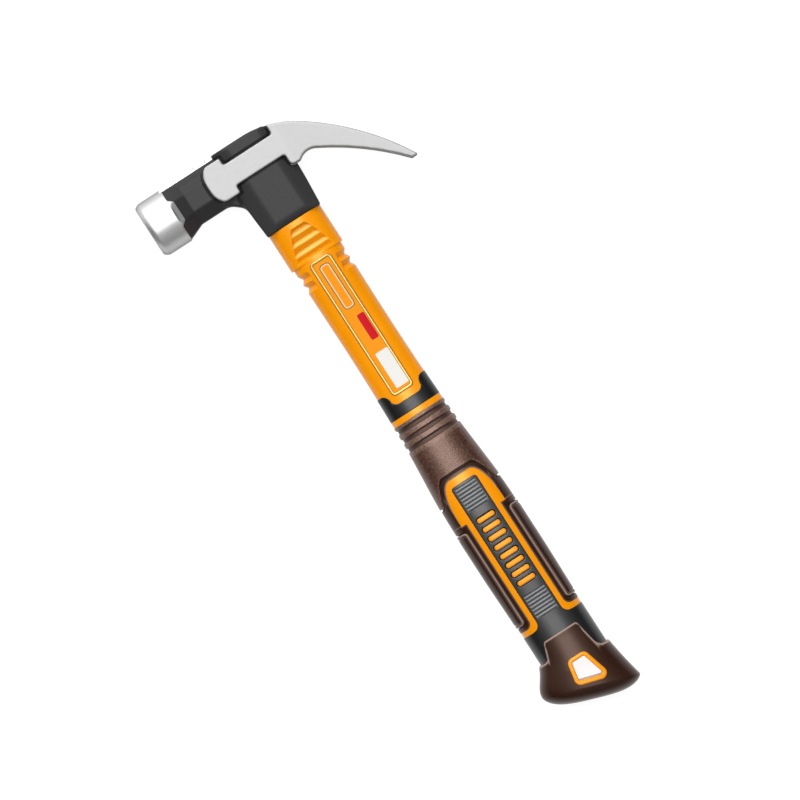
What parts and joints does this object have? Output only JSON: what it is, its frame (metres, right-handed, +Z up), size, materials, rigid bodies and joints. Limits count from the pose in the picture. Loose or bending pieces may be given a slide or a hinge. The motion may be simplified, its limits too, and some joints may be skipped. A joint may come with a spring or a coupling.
{
  "type": "claw hammer",
  "caption": "Small claw hammer: forged head with round poll, octagonal neck and split curved claw on a fibreglass-cored handle with ribbed two-tone soft grip and hanging hole.",
  "frame": {"origin": "middle of the footprint of the hammer lying on its side, on the floor", "axes": "+Y along the handle towards the head, +X towards the claw, +Z up through the cheeks"},
  "size_m": [0.1072, 0.2692, 0.0241],
  "materials": {
    "forged_steel": "ground and polished poll, claw and side bands, dark grey paint on neck and eye block",
    "magnet": "nickel plated",
    "resin": "cast resin",
    "fibreglass": "sawn pultruded rod",
    "amber_plastic": "moulded polypropylene, satin gloss",
    "label_film": "printed film with silver border, no text",
    "black_rubber": "moulded soft elastomer, satin",
    "brown_rubber": "moulded soft elastomer, fine spark texture on the sleeve"
  },
  "bodies": {
    "root": {"head": "forged_steel", "nail_magnet": "magnet", "epoxy_bond": "resin", "fibreglass_core": "fibreglass", "shaft_jacket": "amber_plastic", "front_label": "label_film", "grip_collar": "black_rubber", "grip_sleeve": "brown_rubber", "grip_frame": "brown_rubber", "face_side_pad": "brown_rubber", "claw_side_pad": "brown_rubber", "grip_inlay": "black_rubber", "butt_cap": "brown_rubber", "hang_eyelet": "amber_plastic"}
  },
  "joints": []
}
